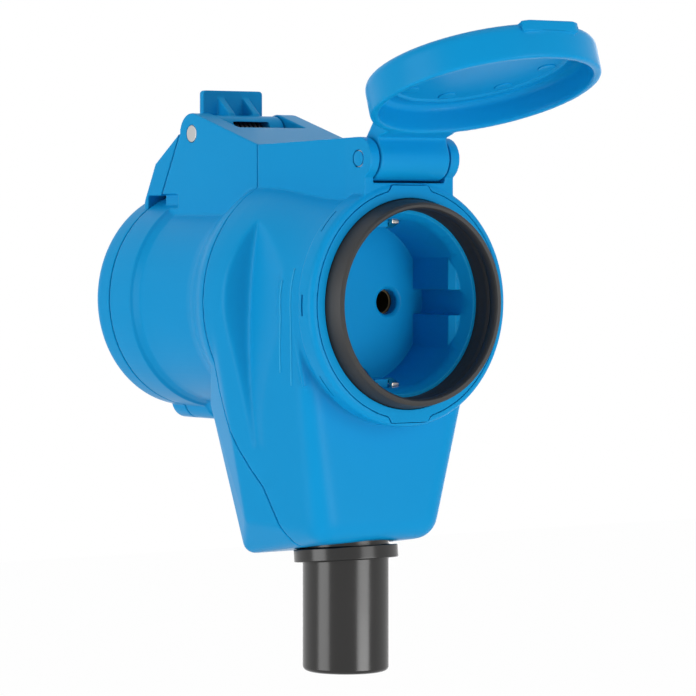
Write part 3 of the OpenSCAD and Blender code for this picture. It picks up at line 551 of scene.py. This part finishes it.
def rim_weight(x, y, z):
    shut_y, shut_z = turned_lid(y, z, lid_turn)
    out = math.hypot(x, shut_z)
    on_wall = min((out - lid_wall_inner) / inner_fade, (lid_radius + outer_margin - out) / outer_fade)
    return within(min(on_wall, (shut_y - lid_rim_y + rim_band) / rim_fade))


pad_top_z = -0.015
pad_widening = 0.2
pad_kept = 0.2
pad_fade = 0.0006
socket_cap = soft_moulding(["socket_lid"], "socket_cap", 10, rim_weight, 26, 0.3)
for corner in socket_cap.data.vertices:
    shut_y, shut_z = turned_lid(corner.co.y, corner.co.z, lid_turn)
    proud = math.hypot(corner.co.x, shut_z) - lid_radius
    if shut_z < pad_top_z and proud > 0:
        corner.co.x *= 1 + pad_widening * within(proud / pad_fade)
        lower = shut_z * (lid_radius + pad_kept * proud) / (lid_radius + proud)
        corner.co.y, corner.co.z = turned_lid(shut_y, lower, -lid_turn)
finished(socket_cap, "socket_lid", ["socket_lid"], lid_plastic)

# The moulding marks: eight low round pads that the ejector pins left on the lid's ceiling, inside the
# ring. They belong to the lid's moulding and have softened edges.
mark_count = 8
mark_circle = 0.0172
mark_radius = 0.0021
mark_height = 0.0006
mark_edge = 0.0002
bpy.ops.object.select_all(action="DESELECT")
mark_places = [math.radians(80 - 45 * i) for i in range(mark_count)]
first_y, first_z = turned_lid(ceiling_y, mark_circle * math.sin(mark_places[0]), -lid_turn)
bpy.ops.mesh.primitive_cylinder_add(vertices=40, radius=mark_radius, depth=mark_height,
                                    location=(mark_circle * math.cos(mark_places[0]), first_y, first_z),
                                    rotation=(math.pi / 2 - lid_turn, 0, 0))
mark = bpy.context.active_object
mark.name = "lid_mark_1"
bpy.ops.object.modifier_add(type="BEVEL")
mark.modifiers[-1].width = mark_edge
mark.modifiers[-1].segments = 3
bpy.ops.object.modifier_apply(modifier=mark.modifiers[-1].name)
marks = [mark]
for number, around in enumerate(mark_places[1:], 2):
    bpy.ops.object.duplicate()
    mark = bpy.context.active_object
    mark.name = "lid_mark_%d" % number
    mark_y, mark_z = turned_lid(ceiling_y, mark_circle * math.sin(around), -lid_turn)
    mark.location = (mark_circle * math.cos(around), mark_y, mark_z)
    marks.append(mark)
for mark in marks:
    bpy.ops.object.select_all(action="DESELECT")
    mark.select_set(True)
    bpy.context.view_layer.objects.active = mark
    bpy.ops.object.transform_apply(location=True, rotation=True, scale=True)
    bpy.ops.object.shade_smooth_by_angle(angle=math.radians(40))
    mark.data.materials.append(lid_plastic)
    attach(mark, "socket_lid")

# The pin covers: blue plugs pressed over both ends of the socket lid's hinge pin, just inside the faces
# of the ears, with a fine gap round them.
cover_radius = 0.00178
cover_thickness = 0.0003
cover_x = 0.01278
cover_edge = 0.00014
for side, word in ((-1, "left"), (1, "right")):
    bpy.ops.object.select_all(action="DESELECT")
    bpy.ops.mesh.primitive_cylinder_add(vertices=48, radius=cover_radius, depth=cover_thickness,
                                        location=(side * cover_x, hinge_y, hinge_z),
                                        rotation=(0, math.pi / 2, 0))
    cover = bpy.context.active_object
    cover.name = "pin_cover_" + word
    bpy.ops.object.transform_apply(location=True, rotation=True, scale=True)
    bpy.ops.object.modifier_add(type="BEVEL")
    cover.modifiers[-1].width = cover_edge
    cover.modifiers[-1].segments = 3
    bpy.ops.object.modifier_apply(modifier=cover.modifiers[-1].name)
    bpy.ops.object.shade_smooth_by_angle(angle=math.radians(40))
    cover.data.materials.append(lid_plastic)
    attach(cover, "coupler")

# The collar lid: the domed blue cap over the pin and sleeve collar, on an arm with a lever tab between
# the hinge cheeks. A dark coil spring round its pale steel pin keeps it shut.
collar_cap = soft_moulding(["collar_lid"], "collar_cap", 3)
finished(collar_cap, "collar_lid", ["collar_lid"], lid_plastic)
pale_steel = bright_metal("pale_steel", (0.46, 0.47, 0.47, 1), 0.42, (60, 800, 800))
turned_edge = 0.0003
moulded_copy("collar_lid_pin", "collar_hinge_pin", "coupler", turned_edge, pale_steel)
moulded_copy("socket_lid_pin", "socket_hinge_pin", "coupler", turned_edge, pale_steel)

# The cable sleeve: a smooth black rubber tube below the block, with a collar against the block's
# sloping floor. It is empty here, and a cable would pass up through it.
sleeve_rubber = black_rubber("sleeve_rubber", (0.0075, 0.0070, 0.0065, 1), 0.19, 700, 0.03)
moulded_copy("cable_sleeve", "rubber_sleeve", "coupler", turned_edge, sleeve_rubber)

# The working parts inside: turned brass contacts in a pale insulating core, copper-alloy links to the
# socket's sleeves, plated screws and the cord clamp. They show at the collar when its lid is open.
turned_brass = bright_metal("turned_brass", (0.62, 0.43, 0.16, 1), 0.27, (400, 1600, 400))
screw_steel = bright_metal("screw_steel", (0.60, 0.61, 0.61, 1), 0.30, (900, 200, 900))
core_plastic = moulded_plastic("pale_core_plastic", (0.70, 0.70, 0.66, 1), (0.63, 0.63, 0.59, 1), 0.46)
# The socket's two contact sleeves behind the pin holes get a brass painted almost black: painted shade for
# the deep holes. Its higher roughness is the metal's own.
painted_shade_brass = bright_metal("painted_shade_brass", (0.10, 0.075, 0.040, 1), 0.50, (400, 1600, 400))
metal_edge = 0.00012
for node in ("socket_contact_left", "socket_contact_right"):
    moulded_copy(node, node + "_brass", "coupler", metal_edge, painted_shade_brass)
for node in ("live_contact", "neutral_contact", "earth_contact", "live_link", "neutral_link", "earth_link"):
    moulded_copy(node, node + "_brass", "coupler", metal_edge, turned_brass)
for node in ("housing_screws", "terminal_screws", "cord_clamp_screws"):
    moulded_copy(node, node + "_steel", "coupler", metal_edge, screw_steel)
core_nodes = ["contact_carrier", "live_sleeve", "neutral_sleeve", "earth_sleeve"]
insulating_core = soft_moulding(core_nodes, "insulating_core", 3)
finished(insulating_core, "coupler", core_nodes, core_plastic)
moulded_copy("cord_clamp", "cord_clamp_moulding", "coupler", turned_edge, core_plastic)
moulded_copy("collar_lid_seal", "collar_lid_ring", "collar_lid", turned_edge, seal_rubber)

# The two torsion springs: dark drawn wire wound about the hinge pins, each with a short straight end on
# either side. The longer one lies in the window of the roof, in the hollow of the collar lid's arm.
spring_wire = bright_metal("dark_spring_wire", (0.17, 0.165, 0.16, 1), 0.34, (300, 1200, 1200))


coil_radius = 0.0029
coil_steps = 28


def wound_spring(name, node, hinge, first_x, last_x, wire_radius, turns, legs):
    bpy.ops.object.select_all(action="DESELECT")
    bpy.ops.mesh.primitive_circle_add(vertices=12, radius=wire_radius, fill_type="NGON",
                                      location=(first_x, hinge[0] - coil_radius, hinge[1]))
    piece = bpy.context.active_object
    piece.name = name
    bpy.context.scene.cursor.location = (first_x, hinge[0], hinge[1])
    bpy.ops.object.origin_set(type="ORIGIN_CURSOR")
    bpy.ops.object.mode_set(mode="EDIT")
    bpy.ops.mesh.select_all(action="SELECT")
    bpy.ops.mesh.delete(type="ONLY_FACE")
    bpy.ops.object.mode_set(mode="OBJECT")
    bpy.ops.object.modifier_add(type="SCREW")
    winding = piece.modifiers[-1]
    winding.axis = "X"
    winding.angle = -2 * math.pi
    winding.iterations = turns
    winding.screw_offset = (last_x - first_x) / turns
    winding.steps = coil_steps
    winding.render_steps = coil_steps
    bpy.ops.object.modifier_apply(modifier=winding.name)
    bpy.ops.object.transform_apply(location=True, rotation=True, scale=True)
    for end_x, leg in zip((first_x, last_x), legs):
        bpy.ops.object.mode_set(mode="EDIT")
        bpy.ops.mesh.select_all(action="DESELECT")
        bpy.ops.object.mode_set(mode="OBJECT")
        for corner in piece.data.vertices:
            off = math.hypot(corner.co.x - end_x, corner.co.y - hinge[0] + coil_radius)
            corner.select = off < wire_radius * 1.02 and abs(corner.co.z - hinge[1]) < 0.00001
        bpy.ops.object.mode_set(mode="EDIT")
        bpy.ops.mesh.select_mode(type="VERT")
        bpy.ops.mesh.extrude_region_move(TRANSFORM_OT_translate={"value": (0, 0, leg)})
        bpy.ops.mesh.edge_face_add()
        bpy.ops.object.mode_set(mode="OBJECT")
    bpy.ops.object.mode_set(mode="EDIT")
    bpy.ops.mesh.select_all(action="SELECT")
    bpy.ops.mesh.normals_make_consistent(inside=False)
    bpy.ops.object.mode_set(mode="OBJECT")
    bpy.ops.object.shade_smooth_by_angle(angle=math.radians(50))
    piece.data.materials.append(spring_wire)
    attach(piece, "coupler")
    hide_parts(node)


wound_spring("collar_torsion_spring", "collar_lid_spring", hinge=(-0.0185, 0.0404),
             first_x=-0.0045, last_x=0.0045, wire_radius=0.00045, turns=7, legs=(-0.0011, 0.0011))
wound_spring("socket_torsion_spring", "socket_lid_spring", hinge=(hinge_y, hinge_z),
             first_x=-0.0096, last_x=-0.0061, wire_radius=0.0004, turns=4, legs=(-0.0015, 0.0010))
